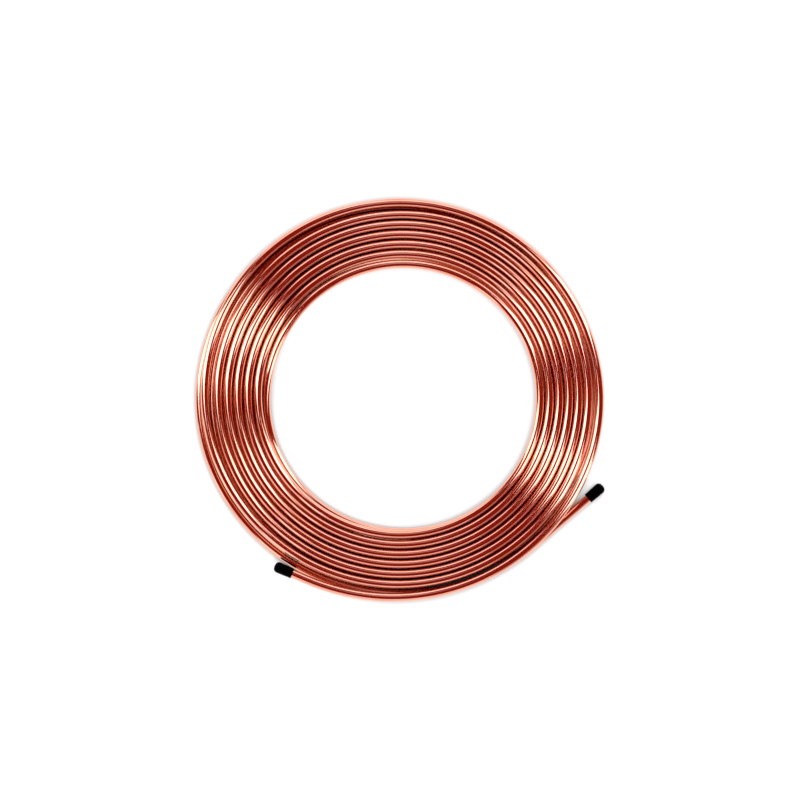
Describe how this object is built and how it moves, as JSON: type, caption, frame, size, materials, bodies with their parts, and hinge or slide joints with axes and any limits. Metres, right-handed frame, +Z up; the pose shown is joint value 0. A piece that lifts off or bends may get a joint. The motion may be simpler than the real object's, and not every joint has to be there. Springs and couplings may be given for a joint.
{
  "type": "immersion wort chiller",
  "caption": "Flat two-layer coil of soft copper tube with a black push-on cap on each end, lowered into hot wort to cool it with running water.",
  "frame": {"origin": "on the floor under the middle of the part's bounding box", "axes": "+Z up out of the flat coil, +X towards the side that the lower end's cap points to, +Y away from the two ends' caps"},
  "size_m": [0.4476, 0.44, 0.0205],
  "materials": {
    "copper": "bright drawn copper",
    "vinyl": "soft black vinyl, satin"
  },
  "bodies": {
    "coil": {"tube_end_upper": "copper", "coil_upper_outer": "copper", "coil_upper_inner": "copper", "coil_lower_inner": "copper", "coil_lower_outer": "copper", "tube_end_lower": "copper"},
    "cap_upper": {"end_cap_upper": "vinyl"},
    "cap_lower": {"end_cap_lower": "vinyl"}
  },
  "joints": [
    {"name": "end_cap_upper_pull", "type": "slide", "parent": "coil", "child": "cap_upper", "axis": [-0.9186, 0.3953, 0], "range_m": [0, 0.04]},
    {"name": "end_cap_lower_pull", "type": "slide", "parent": "coil", "child": "cap_lower", "axis": [0.7584, 0.6514, 0.0237], "range_m": [0, 0.04]}
  ]
}
